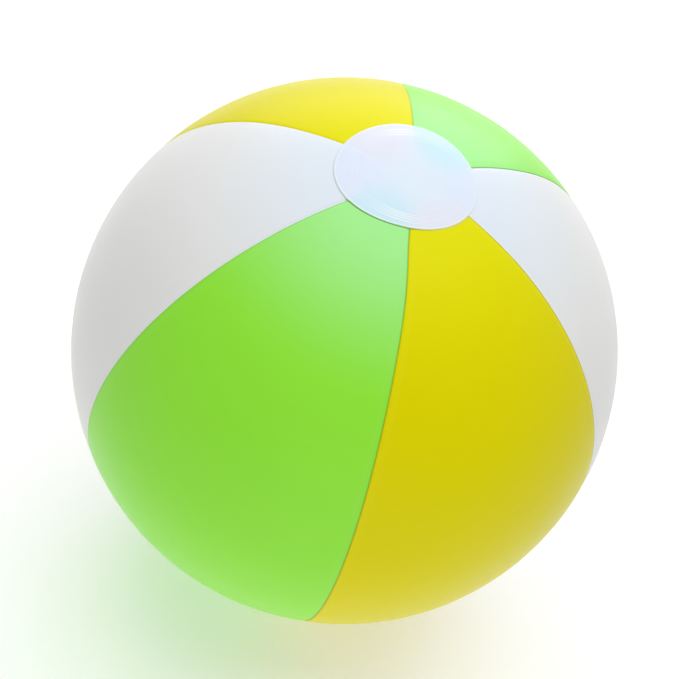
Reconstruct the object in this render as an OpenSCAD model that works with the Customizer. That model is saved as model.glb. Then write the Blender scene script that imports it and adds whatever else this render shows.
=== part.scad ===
// Inflatable beach ball: six lens-shaped film gores lap-welded edge to edge,
// closed by a plain round cap at the top pole and by a valve cap at the bottom
// pole. Origin at the ball's centre, +Z through the plain cap.

/* [Ball] */
// Diameter of the inflated ball
ball_d = 300; // [240:10:500]
// Thickness of the film
film_t = 0.25; // [0.20:0.05:0.40]
// Width of the lap weld along each seam
lap_w = 4; // [2:0.5:6]

/* [End caps] */
// Diameter of both round end caps
cap_d = 67; // [60:1:80]
// How far the gore tips run under the edge of a cap
tip_run = 9.5; // [8:0.5:12]
// Number of concentric weld ridges on a cap
ridge_n = 4; // [1:1:4]
// Distance from the cap's edge to its outermost weld ridge
ridge_in = 3.8; // [3:0.2:4.4]
// Spacing of the weld ridges
ridge_pitch = 1.4; // [1:0.1:1.5]
// Radius of the bead of a weld ridge
ridge_r = 0.18; // [0.12:0.02:0.19]

/* [Valve] */
// Outer radius of the valve's weld flange
flange_r = 15; // [13:0.5:18]
// Thickness of the weld flange
flange_t = 0.75; // [0.6:0.05:1]
// Outer radius of the soft well around the stem
well_r = 9.5; // [9.4:0.1:10.5]
// Wall of the soft well
well_t = 0.5; // [0.4:0.1:0.5]
// Depth of the soft well's floor below the ball's surface
well_d = 8.5; // [8:0.5:10]
// Outer radius of the stem
stem_r = 5.8; // [5.6:0.1:5.8]
// Depth of the stem's inner end below the ball's surface
stem_end = 14; // [13:0.5:18]
// Radius of the stem's bore, where a pump nozzle seats
bore_r = 2.9; // [2.5:0.1:3]
// Radius of the stem's mouth, which the plug closes
mouth_r = 3.3; // [3.3:0.05:3.5]
// Depth at which the wider mouth ends
mouth_end = 6.2; // [6:0.1:7]
// Thickness of the check flap
flap_t = 0.4; // [0.3:0.05:0.6]

/* [Hidden] */
$fn = 180;

R = ball_d / 2;              // outer face of the caps
gore_o = R - film_t;         // outer face of the gores
gore_i = R - 2 * film_t;     // inner face of the gores
lap_i = R - 3 * film_t;      // inner face of the weld laps
cap_a = asin(cap_d / 2 / R);
tip_a = asin((cap_d / 2 - tip_run) / R);
hinge_x = 7.75;              // plug strap's bend line, on the stem's +X side
hinge_d = 0.9;

film_white = [0.93, 0.94, 0.96];
film_yellow = [0.90, 0.87, 0.12];
film_green = [0.52, 0.86, 0.24];
film_clear = [0.86, 0.92, 0.97];
valve_clear = [0.90, 0.93, 0.95];

// Half-plane outline between two radii and two angles from the pole
module band(ro, ri, a0, a1) {
    big = 2 * R;
    intersection() {
        difference() {
            circle(r = ro);
            circle(r = ri);
        }
        polygon(concat([[0, 0]],
            [for (k = [0:8]) let (a = a0 + (a1 - a0) * k / 8) [big * sin(a), big * cos(a)]]));
    }
}

// One sixth of the ball's skin, with the lap that runs under the next gore
module gore(a) {
    rotate([0, 0, a]) {
        rotate_extrude(angle = 60) band(gore_o, gore_i, tip_a, 180 - tip_a);
        intersection() {
            rotate_extrude(angle = 80) band(gore_i, lap_i, tip_a, 180 - tip_a);
            rotate([0, 0, 60]) translate([0, -1, -R]) cube([R + 1, lap_w + 1, 2 * R]);
        }
        intersection() {
            rotate_extrude(angle = 60) band(gore_i + film_t / 2, lap_i, tip_a, 180 - tip_a);
            rotate([0, 0, 60]) translate([0, -1, -R]) cube([R + 1, 2, 2 * R]);
        }
    }
}

// Round end disc with its concentric weld ridges
module cap_disc() {
    rotate_extrude() band(R, R - film_t, 0, cap_a);
    for (k = [0:ridge_n - 1]) {
        ra = asin((cap_d / 2 - ridge_in - k * ridge_pitch) / R);
        rotate_extrude() translate([R * sin(ra), R * cos(ra)]) circle(r = ridge_r, $fn = 24);
    }
}

// Place a shape drawn with depth upward at the bottom pole
module at_valve() translate([0, 0, -R]) children();

module gore_yellow_front() color(film_yellow) gore(0);
module gore_white_right() color(film_white) gore(60);
module gore_green_back() color(film_green) gore(120);
module gore_yellow_back() color(film_yellow) gore(180);
module gore_white_left() color(film_white) gore(240);
module gore_green_front() color(film_green) gore(300);

module top_cap() color(film_clear) cap_disc();

module bottom_cap() color(film_clear)
    difference() {
        mirror([0, 0, 1]) cap_disc();
        at_valve() translate([0, 0, -1]) cylinder(r = well_r, h = 4);
    }

// Ring welded to the inner face of the bottom cap
module valve_flange() color(valve_clear)
    difference() {
        mirror([0, 0, 1]) rotate_extrude() band(R - film_t, R - film_t - flange_t, 0, asin(flange_r / R));
        at_valve() translate([0, 0, -1]) cylinder(r = well_r, h = 5);
    }

// Soft well that turns inside out as the stem is pulled out
module valve_diaphragm() color(valve_clear)
    at_valve() difference() {
        translate([0, 0, 0.4]) cylinder(r = well_r, h = well_d - 0.4);
        translate([0, 0, -1]) cylinder(r = well_r - well_t, h = well_d - well_t + 1);
        translate([0, 0, -1]) cylinder(r = stem_r + 0.05, h = well_d + 2);
    }

// Tube with the pump bore
module valve_stem() color(valve_clear)
    at_valve() difference() {
        translate([0, 0, 1.4]) cylinder(r = stem_r, h = stem_end - 1.4);
        translate([0, 0, -1]) cylinder(r = mouth_r, h = mouth_end + 1);
        translate([0, 0, -1]) cylinder(r = bore_r, h = stem_end + 2);
    }

// Short bent strap that keeps the plug on the stem
module plug_strap() color(valve_clear)
    at_valve() difference() {
        translate([0, 1.5, 0]) rotate([90, 0, 0]) linear_extrude(height = 3)
            polygon([[5, 3.6], [8.1, 3.6], [8.1, hinge_d], [7.4, hinge_d], [7.4, 2.9], [5, 2.9]]);
        cylinder(r = stem_r, h = 10);
    }

// Plug: round head, tapered nub, hinge ear and pull tab
module valve_plug() color(valve_clear)
    at_valve() {
        cylinder(r = stem_r, h = 1.3);
        translate([0, 0, 1]) cylinder(r1 = 3 + 0.3 * 0.7 / 3.7, r2 = 2.3, h = 4);
        translate([4, -1.6, 0.1]) cube([3.3, 3.2, hinge_d - 0.15]);
        translate([-8, -1.8, 0.1]) cube([4, 3.6, 0.9]);
    }

// Film disc that closes the stem's inner end
module check_flap() color(film_clear)
    at_valve() translate([0, 0, stem_end + 0.05]) union() {
        cylinder(r = 4.8, h = flap_t);
        translate([3, -2, 0]) cube([2.2, 4, flap_t]);
    }

gore_yellow_front();
gore_white_right();
gore_green_back();
gore_yellow_back();
gore_white_left();
gore_green_front();
top_cap();
bottom_cap();
valve_flange();
valve_diaphragm();
valve_stem();
plug_strap();
valve_plug();
check_flap();
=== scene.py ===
import math

import bpy
import numpy as np
from mathutils import Matrix, Vector


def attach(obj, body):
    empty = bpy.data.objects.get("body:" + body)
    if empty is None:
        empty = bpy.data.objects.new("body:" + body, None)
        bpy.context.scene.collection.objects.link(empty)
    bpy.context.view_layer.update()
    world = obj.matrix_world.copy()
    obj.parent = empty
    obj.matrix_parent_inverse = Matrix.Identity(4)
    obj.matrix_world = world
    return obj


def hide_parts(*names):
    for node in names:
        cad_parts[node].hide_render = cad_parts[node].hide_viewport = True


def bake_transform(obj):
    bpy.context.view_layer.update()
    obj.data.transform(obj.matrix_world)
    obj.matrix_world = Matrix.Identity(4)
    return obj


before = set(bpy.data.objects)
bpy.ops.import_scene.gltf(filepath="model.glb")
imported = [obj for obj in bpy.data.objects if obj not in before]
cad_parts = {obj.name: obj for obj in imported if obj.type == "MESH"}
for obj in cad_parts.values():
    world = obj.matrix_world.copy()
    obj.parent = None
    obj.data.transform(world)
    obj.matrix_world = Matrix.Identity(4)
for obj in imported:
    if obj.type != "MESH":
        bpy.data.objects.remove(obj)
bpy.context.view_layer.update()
MM = 0.001
R = 150.0            # outer face of the caps, mm
FILM = 0.25          # film thickness, mm
R_GORE = R - FILM
CAP_R = 33.5         # radius of an end cap, mm
TIP_R = 24.0         # the gore tips end at this radius under the caps, mm
WELL_R = 9.5
COL0 = math.asin(TIP_R / R)
WHITE, YELLOW, GREEN = "white", "yellow", "green"

# ------------------------------------------------------------------ helpers


def smooth(a, b, x):
    t = np.clip((np.asarray(x, float) - a) / (b - a), 0, 1)
    return t * t * (3 - 2 * t)


def lin(c):
    """sRGB 0..255 to linear 0..1."""
    out = []
    for v in c:
        v = v / 255
        out.append(v / 12.92 if v <= 0.04045 else ((v + 0.055) / 1.055) ** 2.4)
    return tuple(out) + (1.0,)


def make_mesh(name, co, faces, smooth_shade=True, attrs=None, colors=None):
    """A mesh object from points in mm and a list of faces."""
    me = bpy.data.meshes.new(name)
    me.from_pydata((np.asarray(co) * MM).tolist(), [], [list(map(int, f)) for f in faces])
    me.update()
    if smooth_shade:
        me.polygons.foreach_set("use_smooth", [True] * len(me.polygons))
    for key, val in (attrs or {}).items():
        a = me.attributes.new(key, "FLOAT", "POINT")
        a.data.foreach_set("value", np.asarray(val, np.float32))
    for key, val in (colors or {}).items():
        a = me.attributes.new(key, "FLOAT_COLOR", "POINT")
        a.data.foreach_set("color", np.asarray(val, np.float32).ravel())
    ob = bpy.data.objects.new(name, me)
    bpy.context.scene.collection.objects.link(ob)
    return ob


def sheet_solid(name, outer, inner, attrs=None, wrap=False):
    """A closed thin solid from two matching grids of points, shape (rows, cols, 3).
    wrap joins the last column to the first, for a disc or ring."""
    nr, nc = outer.shape[:2]
    co = np.concatenate([outer.reshape(-1, 3), inner.reshape(-1, 3)])
    off = nr * nc
    ncf = nc if wrap else nc - 1
    i = np.arange(nr - 1)[:, None]
    j = np.arange(ncf)[None, :]
    jn = (j + 1) % nc
    a, b, c, d = i * nc + j, i * nc + jn, (i + 1) * nc + jn, (i + 1) * nc + j
    a, b, c, d = (np.broadcast_to(v, (nr - 1, ncf)).ravel() for v in (a, b, c, d))
    top = np.stack([a, d, c, b], 1)
    bot = np.stack([a + off, b + off, c + off, d + off], 1)
    faces = [top, bot]

    def rim(p, q):
        faces.append(np.stack([p, q, q + off, p + off], 1))

    jj = np.arange(ncf)
    jjn = (jj + 1) % nc
    rim(jj, jjn)                                    # first row
    last = (nr - 1) * nc
    rim(last + jjn, last + jj)                      # last row
    if not wrap:
        ii = np.arange(nr - 1)
        rim((ii + 1) * nc, ii * nc)                 # first column
        rim(ii * nc + nc - 1, (ii + 1) * nc + nc - 1)
    faces = np.concatenate(faces)
    at = {k: np.concatenate([v.ravel(), v.ravel()]) for k, v in (attrs or {}).items()}
    return co, faces, at


def fix_normals(ob):
    """Turn every face of a closed mesh outwards."""
    import bmesh
    bm = bmesh.new()
    bm.from_mesh(ob.data)
    bmesh.ops.recalc_face_normals(bm, faces=bm.faces)
    bm.to_mesh(ob.data)
    bm.free()
    return ob


def lathe(name, prof, n=144, center=(0, 0), smooth_shade=True):
    """A closed solid of revolution about Z. prof is a list of (r, depth) in mm, depth inwards from the bottom pole.
    A profile that starts and ends on the axis closes there; any other is a closed loop."""
    prof = [(float(r), float(d)) for r, d in prof]
    on_axis = prof[0][0] == 0 and prof[-1][0] == 0
    co, idx = [], []
    for r, d in prof:
        if r == 0:
            idx.append([len(co)] * n)
            co.append((center[0], center[1], -R + d))
        else:
            start = len(co)
            idx.append(list(range(start, start + n)))
            for k in range(n):
                a = 2 * math.pi * k / n
                co.append((center[0] + r * math.cos(a), center[1] + r * math.sin(a), -R + d))
    faces = []
    m = len(prof)
    for p in range(m - 1 if on_axis else m):
        q = (p + 1) % m
        for k in range(n):
            kn = (k + 1) % n
            quad = [idx[p][k], idx[p][kn], idx[q][kn], idx[q][k]]
            face = []
            for v in quad:
                if v not in face:
                    face.append(v)
            if len(face) > 2:
                faces.append(face)
    return fix_normals(make_mesh(name, co, faces, smooth_shade))


def arc(cx, cy, r, a0, a1, n=6):
    """Points of an arc in the profile plane, angles in degrees."""
    return [(cx + r * math.cos(math.radians(a0 + (a1 - a0) * k / n)),
             cy + r * math.sin(math.radians(a0 + (a1 - a0) * k / n))) for k in range(n + 1)]


def hash_noise(x, seed):
    """Smooth repeatable 1-D noise, -1 to 1."""
    rng = np.random.RandomState(seed)
    out = np.zeros_like(x, dtype=float)
    for k in range(6):
        f = 0.35 + 0.45 * k
        out += rng.uniform(0.4, 1) * np.sin(x * f + rng.uniform(0, 2 * math.pi))
    return out / 3.0


# ------------------------------------------------------------------ the skin

# How far each seam strays from its meridian, mm: constant, linear and curved part, and the part beside the plain cap.
STRAY = [(-0.8, -0.2, 0.3, -2.2), (2.2, 0.4, -2.2, -0.5), (-0.5, 0.2, 0.2, 1.4),
         (0.6, -1.3, 1.4, 0.0), (2.2, -2.1, 1.1, -1.2), (-1.4, 0.2, 1.4, 0.4)]


def seam_az(k, col):
    """Azimuth of seam k (0 to 6) at a colatitude, radians."""
    d = STRAY[k % 6]
    t = (col - math.pi / 2) / (math.pi / 2)
    lat = d[0] + d[1] * t + d[2] * (t * t - 0.33) + d[3] * np.exp(-((col - 0.2) / 0.16) ** 2)
    lat = lat * (1 - smooth(math.radians(112), math.radians(158), col))
    return math.radians(60 * k) + lat / (R_GORE * np.sin(col))


def relief(u, col, k):
    """Height of the skin beside seam k, mm: u is the distance from the seam along the surface."""
    u = np.abs(u)
    groove = -0.10 * np.exp(-(u / 1.5) ** 2) - 0.13 * np.exp(-(u / 6.0) ** 2)
    bead = 0.025 * np.exp(-((u - 3.9) / 0.6) ** 2)
    along = col * R_GORE
    pucker = 0.022 * hash_noise(along / 2.6, 11 + k) * np.exp(-((u - 5.5) / 4.0) ** 2)
    return groove + bead + pucker


NEAR = [0, 0.12, 0.28, 0.5, 0.8, 1.2, 1.7, 2.3, 3.0, 3.5, 3.9, 4.3, 4.9, 5.8, 7.0, 8.6]
UNDER = [0.25, 0.8, 2.2, 4.0]


def gore(name, k, node):
    """Skin panel between seams k and k + 1. Its start edge lies over the previous panel, its far edge runs under the next."""
    cols = COL0 + (math.pi - 2 * COL0) * (0.5 - 0.5 * np.cos(np.pi * np.linspace(0, 1, 201))) * 0.35 \
        + (math.pi - 2 * COL0) * np.linspace(0, 1, 201) * 0.65
    rows_o, rows_i, seam_d, edge_s, edge_e, pole_d = [], [], [], [], [], []
    for col in cols:
        a0, a1 = float(seam_az(k, np.array(col))), float(seam_az(k + 1, np.array(col)))
        ring = R_GORE * math.sin(col)
        w = ring * (a1 - a0)
        lead = min(1.0, (w * 0.42) / NEAR[-1])
        s = [v * lead for v in NEAR]
        mid = np.linspace(NEAR[-1] * lead, w - NEAR[-1] * lead, 30)[1:-1]
        s = np.array(s + list(mid) + [w - v * lead for v in reversed(NEAR)] + [w + v for v in UNDER])
        us, ue = s, w - s
        h = relief(us, col, k) + np.where(ue >= 0, relief(ue, col, k + 1), 0)
        # the film's rounded edge where it lies on top
        h = h - 0.10 * np.clip(1 - us / 0.2, 0, 1) ** 2
        # the far edge steps down under the next panel
        drop = (FILM + 0.012) * (1 - smooth(0.0, 1.6, ue))
        under = relief(np.abs(ue), col, k + 1) - FILM - 0.012
        h = np.where(ue >= 0, h - drop, under)
        az = a0 + s / ring
        r = R_GORE + h
        out = np.stack([r * math.sin(col) * np.cos(az), r * math.sin(col) * np.sin(az), r * math.cos(col) + 0 * az], 1)
        ri = r - FILM
        inn = out * (ri / r)[:, None]
        rows_o.append(out); rows_i.append(inn)
        seam_d.append(np.minimum(np.abs(us), np.abs(ue)))
        edge_s.append(us); edge_e.append(ue)
        pole_d.append(np.full_like(us, R_GORE * min(col, math.pi - col)))
    o, i = np.array(rows_o), np.array(rows_i)
    co, faces, at = sheet_solid(name, o, i, {
        "seam_mm": np.array(seam_d), "cap_mm": np.array(pole_d)})
    ob = fix_normals(make_mesh(name, co, faces, True, at))
    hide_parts(node)
    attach(ob, "envelope")
    return ob


GORES = [("skin_yellow_front", 0, "gore_yellow_front", YELLOW), ("skin_white_right", 1, "gore_white_right", WHITE),
         ("skin_green_back", 2, "gore_green_back", GREEN), ("skin_yellow_back", 3, "gore_yellow_back", YELLOW),
         ("skin_white_left", 4, "gore_white_left", WHITE), ("skin_green_front", 5, "gore_green_front", GREEN)]
skins = [(gore(n, k, node), hue) for n, k, node, hue in GORES]

# ------------------------------------------------------------------ the end caps

TINT = {  # colour that shows through the milky cap over each panel colour
    WHITE: (0.765, 0.845, 0.985), YELLOW: (0.815, 0.825, 0.93), GREEN: (0.635, 0.865, 0.955)}
CLEAR = (0.775, 0.875, 0.965)
RIM_SHADOW = {WHITE: (194, 206, 212), YELLOW: (196, 188, 30), GREEN: (104, 176, 84)}     # painted shadow line at the cap's edge over each panel, a darker shade of the panel, sRGB


def cap(name, node, pole, shift, ring_shift, hole=0.0, out_of_round=(0, 0, 0, 0), painted_rim_side=0.0):
    """A round film disc at a pole (+1 or -1), with its weld ridges. shift is the disc's centre off the axis, mm,
    and the last argument is the azimuth in degrees of the side where the painted light band and the painted shadow
    line at the rim are strongest."""
    sx, sy = shift
    nseg = 360
    ridges = [3.9, 5.35, 6.7, 8.1]
    fr = set(np.linspace(hole if hole else 0.4, CAP_R - 12, 26).round(3))
    fr |= set(np.linspace(CAP_R - 12, CAP_R - 2.6, 66).round(3))
    fr |= set([CAP_R - v for v in (2.2, 1.8, 1.4, 1.0, 0.7, 0.5, 0.35, 0.22, 0.12, 0.05, 0.0)])
    if hole:
        fr |= set([hole + v for v in (0.08, 0.2, 0.4, 0.8, 1.4, 2.2)])
        for v in (5.3, 5.45, 5.6, 5.8, 6.0):
            fr.add(hole + v)
    rad = np.array(sorted(fr))
    th = 2 * np.pi * np.arange(nseg) / nseg
    rr, tt = np.meshgrid(rad, th, indexing="ij")
    c2, s2, c3, s3 = out_of_round
    grow = 1 + (c2 * np.cos(2 * tt) + s2 * np.sin(2 * tt) + c3 * np.cos(3 * tt) + s3 * np.sin(3 * tt)) * smooth(8, CAP_R, rr)
    x = rr * grow * np.cos(tt) + sx
    y = rr * grow * np.sin(tt) + sy
    # distance from the disc's edge and from the weld tool's ring
    e = CAP_R - rr
    rx, ry = x - sx - ring_shift[0], y - sy - ring_shift[1]
    e_ring = CAP_R - np.hypot(rx, ry) / grow
    pole_r = np.hypot(x, y)
    h = np.zeros_like(rr)
    # two lobes round the cap, at 190 and 350 degrees, where the weld ridges stand higher and where their painted
    # highlight is strongest
    firm_and_glint = np.zeros_like(rr)
    for side in (190, 350):
        firm_and_glint = np.maximum(firm_and_glint, np.exp(-(((np.degrees(tt) - side + 180) % 360 - 180) / 20.0) ** 2))
    for q in ridges:
        h += (0.4 + 0.6 * firm_and_glint) * 0.05 * np.exp(-((e_ring - q) / 0.30) ** 2)
        h -= 0.02 * np.exp(-((e_ring - q - 0.7) / 0.3) ** 2)
    h -= 0.12 * np.clip(1 - e / 0.3, 0, 1) ** 2             # rounded edge of the film
    h -= 0.10 * (1 - smooth(TIP_R - 2.0, TIP_R + 0.5, pole_r)) * (1 - smooth(0, 24, pole_r) * 0.4)
    h += 0.02 * np.cos(6 * (tt)) * np.exp(-((pole_r - 22) / 4.0) ** 2)
    if hole:
        h -= 0.10 * np.clip(1 - (rr - hole) / 0.4, 0, 1) ** 2
        h += 0.10 * np.exp(-((rr - hole - 5.5) / 0.35) ** 2)      # edge of the flange printing through
    # the lap of each seam prints through the weld band
    az = np.arctan2(y, x)
    col = np.arcsin(np.clip(pole_r / R, 0, 1))
    for k in range(6):
        c = np.clip(col, COL0, None)
        a = seam_az(k, c) if pole > 0 else np.full_like(c, math.radians(60 * k))
        d = ((az - a + np.pi) % (2 * np.pi) - np.pi) * np.maximum(pole_r, 1)
        on = smooth(TIP_R - 1, TIP_R + 1, pole_r)
        h += on * (-0.07 * np.exp(-(d / 0.9) ** 2))
    h = h - 0.01
    r = R + np.minimum(h, 0.0) + np.maximum(h, 0) * 1.0
    z = np.sqrt(R * R - pole_r ** 2)
    out = np.stack([x, y, z], -1) * (r / R)[..., None]
    inn = np.stack([x, y, z], -1) * ((r - FILM + 0.003) / R)[..., None]
    if pole < 0:
        out[..., 2] *= -1
        inn[..., 2] *= -1
    # the last attribute weights the painted light and the painted shadow at the rim towards one side
    at = {"edge_mm": e, "ring_mm": e_ring, "pole_mm": pole_r, "firm_and_glint": firm_and_glint, "painted_rim_weight": (0.5 + 0.5 * np.cos(tt - math.radians(painted_rim_side))) ** 2}
    if hole:
        co, faces, att = sheet_solid(name, out, inn, at, wrap=True)
        centre = None
    else:
        co, faces, att = sheet_solid(name, out, inn, at, wrap=True)
        # close the small ring at the centre with a fan on both faces
        nr, nc = out.shape[:2]
        keep = []
        first = set(range(nc)) | set(range(nr * nc, nr * nc + nc))
        for f in faces:
            if all(int(v) in first for v in f):
                continue
            keep.append(f)
        faces = [list(f) for f in keep]
        n0 = len(co)
        top_c = out[0].mean(0)
        bot_c = inn[0].mean(0)
        co = np.concatenate([co, [top_c, bot_c]])
        for key in att:
            att[key] = np.concatenate([att[key], [att[key][0], att[key][0]]])
        for j in range(nc):
            jn = (j + 1) % nc
            faces.append([n0, j, jn])
            faces.append([n0 + 1, nr * nc + jn, nr * nc + j])
    # the colour that shows through
    pts = np.asarray(co)
    px, py = pts[:, 0], pts[:, 1]
    pr = np.hypot(px, py)
    paz = np.arctan2(py, px) % (2 * np.pi)
    pc = np.clip(np.arcsin(np.clip(pr / R, 0, 1)), COL0, None)
    bounds = np.stack([(seam_az(k, pc) if pole > 0 else np.full_like(pc, math.radians(60 * k))) for k in range(7)])
    soft = 1.4 + 6.0 * (1 - smooth(TIP_R + 2.0, TIP_R + 12.0, pr))    # mm of blur
    weight = np.zeros((6, len(pts)))
    for k in range(6):
        for wrap_by in (-2 * np.pi, 0, 2 * np.pi):
            da = (paz + wrap_by - bounds[k]) * np.maximum(pr, 2)
            db = (bounds[k + 1] - paz - wrap_by) * np.maximum(pr, 2)
            weight[k] += smooth(-1, 1, da / soft) * smooth(-1, 1, db / soft)
    weight /= np.maximum(weight.sum(0), 1e-6)
    tint = np.zeros((len(pts), 3))
    for k, (_, _, _, hue) in enumerate(GORES):
        tint += weight[k][:, None] * np.array(TINT[hue])
    deep = smooth(6, TIP_R + 1, pr)[:, None] * 0.9 + 0.1 * smooth(0, 10, pr)[:, None]
    rgb = np.array(CLEAR) * (1 - deep) + tint * deep
    rgba = np.concatenate([rgb, np.ones((len(pts), 1))], 1)
    # the painted shadow colour along the cap's edge, a darker shade of each panel
    rim = sum(weight[k][:, None] * np.array(lin(RIM_SHADOW[hue])) for k, (_, _, _, hue) in enumerate(GORES))
    ob = fix_normals(make_mesh(name, co, faces, True, att, {"show_through": rgba, "rim_shade": rim}))
    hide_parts(node)
    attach(ob, "envelope")
    return ob


cap_top = cap("cap_plain", "top_cap", +1, (-3.35, -4.7), (0.5, 1.5), out_of_round=(-0.025, -0.007, -0.021, 0.014), painted_rim_side=330.0)
cap_bottom = cap("cap_valve", "bottom_cap", -1, (0.0, 0.0), (0.2, -0.2), hole=WELL_R)

# ------------------------------------------------------------------ the valve

flange = lathe("valve_weld_ring", [(9.5, 0.60), (15.0, 1.06), *arc(14.8, 1.5, 0.25, -40, 70, 5), (9.9, 1.40), (9.5, 1.36)])
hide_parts("valve_flange")
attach(flange, "envelope")

# soft well: rolled rim, a slack convolution in the wall, and a floor that meets the stem
wall = [(9.02 + 0.10 * math.sin((d - 1.0) * 1.35), d) for d in np.linspace(1.0, 6.9, 30)]
outer = [(min(9.48, r + 0.44), d) for r, d in reversed(wall)]
well_prof = ([(9.44, 0.42), *arc(9.24, 0.52, 0.16, -20, -160, 6)] + [(9.03, 0.7)] + wall
             + arc(8.3, 7.3, 0.72, 0, 90, 6) + [(7.2, 7.96), (6.6, 8.02), (6.1, 7.86), (5.86, 7.7), (5.86, 8.42)]
             + [(6.2, 8.5), (7.2, 8.5)] + arc(8.35, 7.45, 1.05, 88, 8, 6) + outer + [(9.48, 0.7)])
well = lathe("valve_soft_well", well_prof, 160)
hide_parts("valve_diaphragm")
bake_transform(well)

stem_prof = (arc(5.5, 1.72, 0.3, -90, 0, 5) + [(5.8, 2.4), (5.8, 6.4), (5.8, 13.6)] + arc(5.5, 13.7, 0.3, 0, 90, 4)
             + [(3.1, 14.0), (2.9, 13.8), (2.9, 6.4), (3.0, 6.2), (3.3, 6.0), (3.3, 1.8)] + arc(3.65, 1.77, 0.35, 180, 270, 5))
stem = lathe("valve_tube", stem_prof, 144)
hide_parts("valve_stem")
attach(stem, "stem")


def union(target, tool):
    """Fuse two closed meshes into one."""
    mod = target.modifiers.new("fuse", "BOOLEAN")
    mod.operation = "UNION"
    mod.solver = "EXACT"
    mod.object = tool
    dg = bpy.context.evaluated_depsgraph_get()
    new = bpy.data.meshes.new_from_object(target.evaluated_get(dg))
    target.modifiers.clear()
    target.data = new
    bpy.data.objects.remove(tool)
    new.polygons.foreach_set("use_smooth", [True] * len(new.polygons))
    return target


def slab(name, outline, d0, d1, bevel=0.18):
    """A flat moulded plate with rounded edges: outline in mm (x, y), depth d0 to d1."""
    import bmesh
    bm = bmesh.new()
    vs = [bm.verts.new((x * MM, y * MM, (-R + d0) * MM)) for x, y in outline]
    f = bm.faces.new(vs)
    ext = bmesh.ops.extrude_face_region(bm, geom=[f])
    for v in ext["geom"]:
        if isinstance(v, bmesh.types.BMVert):
            v.co.z = (-R + d1) * MM
    bmesh.ops.recalc_face_normals(bm, faces=bm.faces)
    horiz = [e for e in bm.edges if abs(e.verts[0].co.z - e.verts[1].co.z) < 1e-7]
    bmesh.ops.bevel(bm, geom=horiz, offset=bevel * MM, segments=3, profile=0.5, affect="EDGES")
    me = bpy.data.meshes.new(name)
    bm.to_mesh(me)
    bm.free()
    ob = bpy.data.objects.new(name, me)
    bpy.context.scene.collection.objects.link(ob)
    return ob


# plug: shallow dished head, tapered nub with a grip ring, and a pull tab
plug_prof = ([(0, 0.22), (3.2, 0.20), (4.2, 0.12), (4.7, 0.02)] + arc(5.45, 0.38, 0.36, -90, 0, 5)
             + arc(5.45, 0.92, 0.36, 0, 90, 5) + [(3.4, 1.3), (3.06, 1.42), (2.98, 1.9), (3.06, 2.1), (3.06, 2.35), (2.86, 2.6), (2.42, 4.6)]
             + arc(1.95, 4.6, 0.4, 0, 90, 4) + [(0, 5.0)])
plug = lathe("valve_stopper", plug_prof, 144)
tab = [(-5.0, -1.9), (-5.0, 1.9), (-7.0, 1.8)] + [(-6.9 + 1.1 * math.cos(math.radians(a)) * 1.0, 1.8 * math.sin(math.radians(a)))
                                                for a in range(105, 256, 15)] + [(-7.0, -1.8)]
pts = []
for p in tab:
    if not pts or math.hypot(p[0] - pts[-1][0], p[1] - pts[-1][1]) > 0.15:
        pts.append(p)
union(plug, slab("tab", pts, 0.12, 0.98))
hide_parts("valve_plug")
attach(plug, "plug")

# strap: one thin strip from the stem's side, out, round and over to the plug's head
path = [(5.75, 3.25), (6.5, 3.25), (7.2, 3.2)] + arc(7.2, 2.6, 0.58, 90, 0, 5)[1:] + [(7.80, 2.2), (7.82, 1.7), (7.80, 1.2)] \
    + arc(7.25, 1.05, 0.55, 0, -90, 6)[1:] + [(6.6, 0.50), (5.9, 0.52), (5.6, 0.54)]
path = np.array(path)
tang = np.gradient(path, axis=0)
tang /= np.linalg.norm(tang, axis=1)[:, None]
nor = np.stack([-tang[:, 1], tang[:, 0]], 1)
rows = []
for p, nn, t in zip(path, nor, np.linspace(0, 1, len(path))):
    half = 1.45 - 0.25 * math.sin(math.pi * t)
    th = 0.27
    sec = []
    for yy, tt in [(-half, -0.5), (-half + 0.1, -1), (half - 0.1, -1), (half, -0.5), (half, 0.5), (half - 0.1, 1), (-half + 0.1, 1), (-half, 0.5)]:
        q = p + nn * th * tt
        sec.append((q[0], yy, -R + q[1]))
    rows.append(sec)
rows = np.array(rows)
n, m = rows.shape[:2]
faces = [[a * m + b, a * m + (b + 1) % m, (a + 1) * m + (b + 1) % m, (a + 1) * m + b] for a in range(n - 1) for b in range(m)]
faces += [list(range(m)), [(n - 1) * m + b for b in range(m)][::-1]]
strap = fix_normals(make_mesh("valve_strap", rows.reshape(-1, 3), faces))
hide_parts("plug_strap")
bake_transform(strap)

# check flap: a flat film disc, with its heel welded at one side
fl = []
nr, nc = 16, 96
rr = np.linspace(0.2, 4.8, nr)
tt = 2 * np.pi * np.arange(nc) / nc
rg, tg = np.meshgrid(rr, tt, indexing="ij")
x = rg * np.cos(tg)
y = rg * np.sin(tg)
x = np.where((x > 3.2) & (np.abs(y) < 3.6), x + (5.2 - np.sqrt(np.maximum(4.8 ** 2 - y * y, 0))) * smooth(3.2, 4.6, rg), x)
x = np.minimum(x, 5.2)
dish = 0.10 * (1 - (rg / 4.8) ** 2) * smooth(0, 2.9, rg) * 0 + 0.0
d_out = 14.06 + dish
outer_g = np.stack([x, y, -R + d_out + 0 * x], -1)
inner_g = np.stack([x, y, -R + d_out + 0.36 + 0 * x], -1)
co, faces, _ = sheet_solid("f", outer_g, inner_g, wrap=True)
first = set(range(nc)) | set(range(nr * nc, nr * nc + nc))
faces = [list(f) for f in faces if not all(int(v) in first for v in f)]
n0 = len(co)
co = np.concatenate([co, [outer_g[0].mean(0), inner_g[0].mean(0)]])
for j in range(nc):
    jn = (j + 1) % nc
    faces.append([n0, j, jn])
    faces.append([n0 + 1, nr * nc + jn, nr * nc + j])
flap = fix_normals(make_mesh("valve_check_film", co, faces))
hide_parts("check_flap")
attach(flap, "flap")

# ------------------------------------------------------------------ materials


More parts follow.
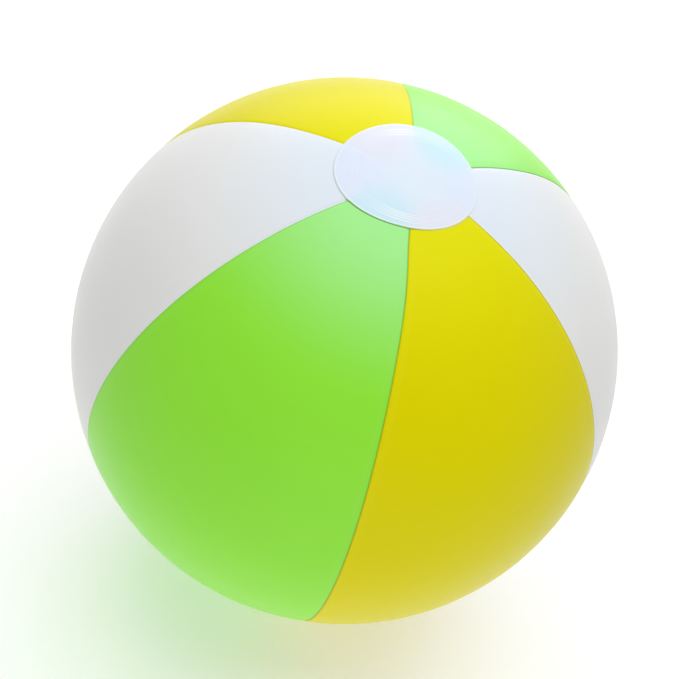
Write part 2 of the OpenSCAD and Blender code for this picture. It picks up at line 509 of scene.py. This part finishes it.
def new_mat(name):
    m = bpy.data.materials.new(name)
    m.use_nodes = True
    nt = m.node_tree
    b = nt.nodes["Principled BSDF"]
    return m, nt, b


def node(nt, kind, **kw):
    n = nt.nodes.new(kind)
    for k, v in kw.items():
        setattr(n, k, v)
    return n


def mix_rgb(nt, a, b, fac, mode="MIX"):
    n = node(nt, "ShaderNodeMix", data_type="RGBA", blend_type=mode)
    for sock, val in ((n.inputs[6], a), (n.inputs[7], b), (n.inputs[0], fac)):
        if hasattr(val, "node"):
            nt.links.new(val, sock)
        else:
            sock.default_value = val
    return n.outputs[2]


def map_range(nt, src, a, b, c=0.0, d=1.0, kind="SMOOTHSTEP"):
    n = node(nt, "ShaderNodeMapRange", interpolation_type=kind)
    nt.links.new(src, n.inputs[0])
    for i, v in zip((1, 2, 3, 4), (a, b, c, d)):
        n.inputs[i].default_value = v
    return n.outputs[0]


def math_node(nt, op, a, b=0.0):
    n = node(nt, "ShaderNodeMath", operation=op)
    for sock, val in ((n.inputs[0], a), (n.inputs[1], b)):
        if hasattr(val, "node"):
            nt.links.new(val, sock)
        else:
            sock.default_value = val
    return n.outputs[0]


def noise(nt, scale, detail=2.0, rough=0.5, vec=None):
    n = node(nt, "ShaderNodeTexNoise")
    n.inputs["Scale"].default_value = scale
    n.inputs["Detail"].default_value = detail
    n.inputs["Roughness"].default_value = rough
    tc = node(nt, "ShaderNodeTexCoord")
    nt.links.new(tc.outputs["Object"], n.inputs["Vector"])
    return n.outputs["Fac"]


def attr(nt, name):
    n = node(nt, "ShaderNodeAttribute", attribute_name=name)
    return n


def bump(nt, b, height, strength, dist):
    n = node(nt, "ShaderNodeBump")
    n.inputs["Strength"].default_value = strength
    n.inputs["Distance"].default_value = dist
    nt.links.new(height, n.inputs["Height"])
    nt.links.new(n.outputs[0], b.inputs["Normal"])


def film_material(name, base, deep, pale, edge, lit_near_cap, lit_cap_mix, spec):
    """Printed vinyl film: base colour, a deeper and a paler shade for print variation, the colour of the painted line
    at the welded edge (painted shadow on the coloured films, a painted light rim on the white), and the paler colour
    painted beside the caps as painted light."""
    m, nt, b = new_mat(name)
    big = noise(nt, 6.0, 2.0, 0.5)
    col = mix_rgb(nt, base, deep, map_range(nt, big, 0.3, 0.7, 0.0, 0.5, "LINEAR"))
    far = attr(nt, "cap_mm").outputs["Fac"]
    # painted light: the film is made paler towards both caps, standing in for light from above and light coming
    # through the film
    col = mix_rgb(nt, col, lit_near_cap, map_range(nt, far, 28.0, 115.0, lit_cap_mix, 0.0))
    seam = attr(nt, "seam_mm").outputs["Fac"]
    # the print is a touch paler across the weld; at the film's edge a fine line is painted: painted shadow of the lap
    # step on the coloured films, a painted light rim on the white
    band = math_node(nt, "MULTIPLY", map_range(nt, seam, 3.4, 4.6, 1.0, 0.0), map_range(nt, seam, 0.5, 1.6, 0.0, 1.0))
    col = mix_rgb(nt, col, pale, math_node(nt, "MULTIPLY", band, 0.07))
    col = mix_rgb(nt, col, edge, map_range(nt, seam, 0.15, 0.75, 0.6, 0.0))
    nt.links.new(col, b.inputs["Base Color"])
    b.inputs["IOR"].default_value = 1.49
    b.inputs["Specular IOR Level"].default_value = spec
    rough = map_range(nt, noise(nt, 40.0, 3.0), 0.3, 0.7, 0.30, 0.36, "LINEAR")
    rough = math_node(nt, "ADD", rough, math_node(nt, "MULTIPLY", band, 0.04))
    nt.links.new(rough, b.inputs["Roughness"])
    bump(nt, b, noise(nt, 900.0, 2.0), 0.10, 0.00004)
    return m


# in each film the fourth colour is the painted line at the film's edge, and the fifth, with its share, is the painted
# light beside the caps
FILMS = {
    WHITE: film_material("film_white", lin((243, 243, 241)), lin((240, 240, 237)), lin((238, 240, 244)), lin((250, 251, 252)),
                         lin((226, 238, 252)), 0.75, 0.2),
    YELLOW: film_material("film_yellow", lin((233, 223, 0)), lin((229, 216, 0)), lin((246, 240, 60)), lin((190, 180, 0)),
                          lin((240, 238, 10)), 0.5, 0.1),
    GREEN: film_material("film_green", lin((154, 244, 62)), lin((147, 239, 52)), lin((170, 240, 120)), lin((108, 188, 66)),
                         lin((172, 248, 156)), 0.9, 0.28),
}
for ob, hue in skins:
    ob.data.materials.clear()
    ob.data.materials.append(FILMS[hue])


def cap_material():
    m, nt, b = new_mat("film_cap")
    vc = attr(nt, "show_through").outputs["Color"]
    cloud = noise(nt, 30.0, 3.0, 0.6)
    col = mix_rgb(nt, vc, lin((244, 248, 252)), map_range(nt, cloud, 0.42, 0.8, 0.0, 0.22))
    edge = attr(nt, "edge_mm").outputs["Fac"]
    ring = attr(nt, "ring_mm").outputs["Fac"]
    painted_rim_side = attr(nt, "painted_rim_weight").outputs["Fac"]
    firm_and_glint = attr(nt, "firm_and_glint").outputs["Fac"]
    # painted highlight: the ridge crests are painted whiter, most in the two lobes
    crest_highlight = None
    for q in (3.9, 5.35, 6.7, 8.1):
        near = map_range(nt, math_node(nt, "ABSOLUTE", math_node(nt, "SUBTRACT", ring, q)), 0.1, 0.6, 0.75, 0.0)
        crest_highlight = near if crest_highlight is None else math_node(nt, "MAXIMUM", crest_highlight, near)
    crest_highlight = math_node(nt, "MULTIPLY", crest_highlight, math_node(nt, "ADD", math_node(nt, "MULTIPLY", firm_and_glint, 0.85), 0.10))
    col = mix_rgb(nt, col, lin((252, 255, 255)), crest_highlight)
    # painted highlight: a pale band just inside the cap's edge, strongest on one side
    rim = math_node(nt, "MULTIPLY", map_range(nt, edge, 0.9, 1.6, 0.85, 0.0), math_node(nt, "ADD", math_node(nt, "MULTIPLY", painted_rim_side, 0.65), 0.25))
    col = mix_rgb(nt, col, lin((246, 254, 246)), rim)
    # painted shadow: a dark line at the very edge of the cap, on the same side
    rim_shadow = math_node(nt, "MULTIPLY", map_range(nt, edge, 0.35, 0.85, 0.95, 0.0), painted_rim_side)
    rim_shade = attr(nt, "rim_shade").outputs["Color"]
    col = mix_rgb(nt, col, rim_shade, rim_shadow)
    nt.links.new(col, b.inputs["Base Color"])
    b.inputs["IOR"].default_value = 1.5
    r = map_range(nt, noise(nt, 60.0, 3.0), 0.3, 0.7, 0.29, 0.33, "LINEAR")
    nt.links.new(r, b.inputs["Roughness"])
    fine = noise(nt, 700.0, 2.0)
    bump(nt, b, fine, 0.06, 0.0002)
    return m


CAP = cap_material()
for ob in (cap_top, cap_bottom):
    ob.data.materials.clear()
    ob.data.materials.append(CAP)


def valve_material(name, base, pale):
    m, nt, b = new_mat(name)
    col = mix_rgb(nt, base, pale, map_range(nt, noise(nt, 180.0, 3.0, 0.6), 0.4, 0.75, 0.0, 0.5))
    geo = node(nt, "ShaderNodeNewGeometry")
    col = mix_rgb(nt, col, pale, map_range(nt, geo.outputs["Pointiness"], 0.5, 0.58, 0.0, 0.6))
    nt.links.new(col, b.inputs["Base Color"])
    b.inputs["IOR"].default_value = 1.5
    nt.links.new(map_range(nt, noise(nt, 260.0, 2.0), 0.3, 0.7, 0.29, 0.40, "LINEAR"), b.inputs["Roughness"])
    b.inputs["Subsurface Weight"].default_value = 0.25
    b.inputs["Subsurface Radius"].default_value = (0.0012, 0.0013, 0.0014)
    b.inputs["Subsurface Scale"].default_value = 1.0
    bump(nt, b, noise(nt, 1600.0, 2.0), 0.10, 0.0001)
    return m


VALVE = valve_material("valve_soft_pvc", lin((222, 232, 238)), lin((240, 246, 250)))
for ob in (flange, well, stem, plug, strap):
    ob.data.materials.clear()
    ob.data.materials.append(VALVE)
FLAP = valve_material("flap_film", lin((214, 228, 238)), lin((236, 244, 250)))
flap.data.materials.clear()
flap.data.materials.append(FLAP)

# ------------------------------------------------------------------ camera

THETA, PHI, PSI = math.radians(35.58), math.radians(22.89), math.radians(15.52)
DIST = 4.5 * R * MM
p = Vector((math.sin(THETA) * math.sin(PHI), math.sin(THETA) * math.cos(PHI), math.cos(THETA)))
zc = Vector((0, 0, 1))
e = (zc - p * zc.dot(p)).normalized()
f = p.cross(e)
xc = e * math.cos(PSI) + f * math.sin(PSI)
yc = -e * math.sin(PSI) + f * math.cos(PSI)
to_cam = Matrix((xc, yc, p)).transposed()          # CAD axes written in the camera's axes
cam_rot = to_cam.transposed()                        # camera axes written in the CAD frame
centre = Vector((0.0178, -0.0400, -4.5)) * R * MM    # ball's centre seen from the camera
cam_pos = cam_rot @ (-centre)
cam_data = bpy.data.cameras.new("camera")
cam_data.sensor_width = 36.0
cam_data.lens = 63.75
cam_data.clip_start = 0.01
cam_data.clip_end = 50
cam = bpy.data.objects.new("camera", cam_data)
cam.matrix_world = Matrix.Translation(cam_pos) @ cam_rot.to_4x4()
bpy.context.scene.collection.objects.link(cam)
bpy.context.scene.camera = cam
RIGHT, UP, BACK = (cam_rot @ Vector(v) for v in ((1, 0, 0), (0, 1, 0), (0, 0, 1)))

# ------------------------------------------------------------------ floor and light


def floor():
    n, size = 48, 6.0
    g = np.linspace(-size, size, n)
    x, y = np.meshgrid(g, g, indexing="ij")
    co = np.stack([x, y, 0 * x - R * MM - 0.0001], -1).reshape(-1, 3) / MM
    faces = [[a * n + b, (a + 1) * n + b, (a + 1) * n + b + 1, a * n + b + 1] for a in range(n - 1) for b in range(n - 1)]
    ob = make_mesh("floor", co, faces)
    m, nt, b = new_mat("floor_pale")
    nt.links.new(mix_rgb(nt, lin((252, 252, 252)), lin((250, 250, 250)), noise(nt, 3.0)), b.inputs["Base Color"])
    b.inputs["Roughness"].default_value = 0.8
    b.inputs["Specular IOR Level"].default_value = 0.2
    b.inputs["Emission Color"].default_value = (1, 1, 1, 1)
    # the floor glows, most near the ball: painted light that lifts the ball's shadow on it
    geo = node(nt, "ShaderNodeNewGeometry")
    far = node(nt, "ShaderNodeVectorMath", operation="LENGTH")
    nt.links.new(geo.outputs["Position"], far.inputs[0])
    nt.links.new(map_range(nt, far.outputs["Value"], 0.16, 0.60, 0.26, 0.14), b.inputs["Emission Strength"])
    # open to the eye from underneath, so that the valve can be looked at
    out = nt.nodes["Material Output"]
    clear = node(nt, "ShaderNodeBsdfTransparent")
    both = node(nt, "ShaderNodeMixShader")
    nt.links.new(geo.outputs["Backfacing"], both.inputs[0])
    nt.links.new(b.outputs[0], both.inputs[1])
    nt.links.new(clear.outputs[0], both.inputs[2])
    nt.links.new(both.outputs[0], out.inputs[0])
    ob.data.materials.append(m)
    return ob


floor()


def softbox(name, where, size, power, tint=(1, 1, 1), target=(0, 0, 0), spread=180):
    d = bpy.data.lights.new(name, "AREA")
    d.shape = "RECTANGLE"
    d.size, d.size_y = size
    d.energy = power
    d.color = tint
    d.spread = math.radians(spread)
    o = bpy.data.objects.new(name, d)
    o.location = where
    o.rotation_euler = (Vector(target) - Vector(where)).to_track_quat("-Z", "Y").to_euler()
    o.visible_camera = False
    bpy.context.scene.collection.objects.link(o)
    return o


key = softbox("key", UP * 0.88 + BACK * 0.92 + RIGHT * 0.30, (1.5, 1.1), 12.6, (0.97, 0.985, 1.0))
key.visible_glossy = False
fill = softbox("fill", BACK * 0.85 - UP * 1.0, (1.4, 0.5), 4.9, (1.0, 0.995, 0.98))
fill.visible_glossy = False
softbox("top_strip", UP * 1.05 - BACK * 0.42 + RIGHT * 0.18, (1.3, 0.6), 3.2)

# the studio round the ball: bright behind and above, darker on the side the ball is looked at from
world = bpy.data.worlds.new("studio")
bpy.context.scene.world = world
world.use_nodes = True
wt = world.node_tree
bg = wt.nodes["Background"]
tc = wt.nodes.new("ShaderNodeTexCoord")
dot = wt.nodes.new("ShaderNodeVectorMath")
dot.operation = "DOT_PRODUCT"
dot.inputs[1].default_value = (BACK * 0.96 - UP * 0.28).normalized()
wt.links.new(tc.outputs["Generated"], dot.inputs[0])
mr = wt.nodes.new("ShaderNodeMapRange")
mr.interpolation_type = "SMOOTHSTEP"
for i, v in zip((1, 2, 3, 4), (-0.25, 0.75, 0.54, 0.21)):
    mr.inputs[i].default_value = v
wt.links.new(dot.outputs["Value"], mr.inputs[0])
wt.links.new(mr.outputs[0], bg.inputs[1])
bg.inputs[0].default_value = (1, 1, 1, 1)
bpy.context.scene.view_settings.view_transform = "Standard"
bpy.context.scene.view_settings.look = "None"
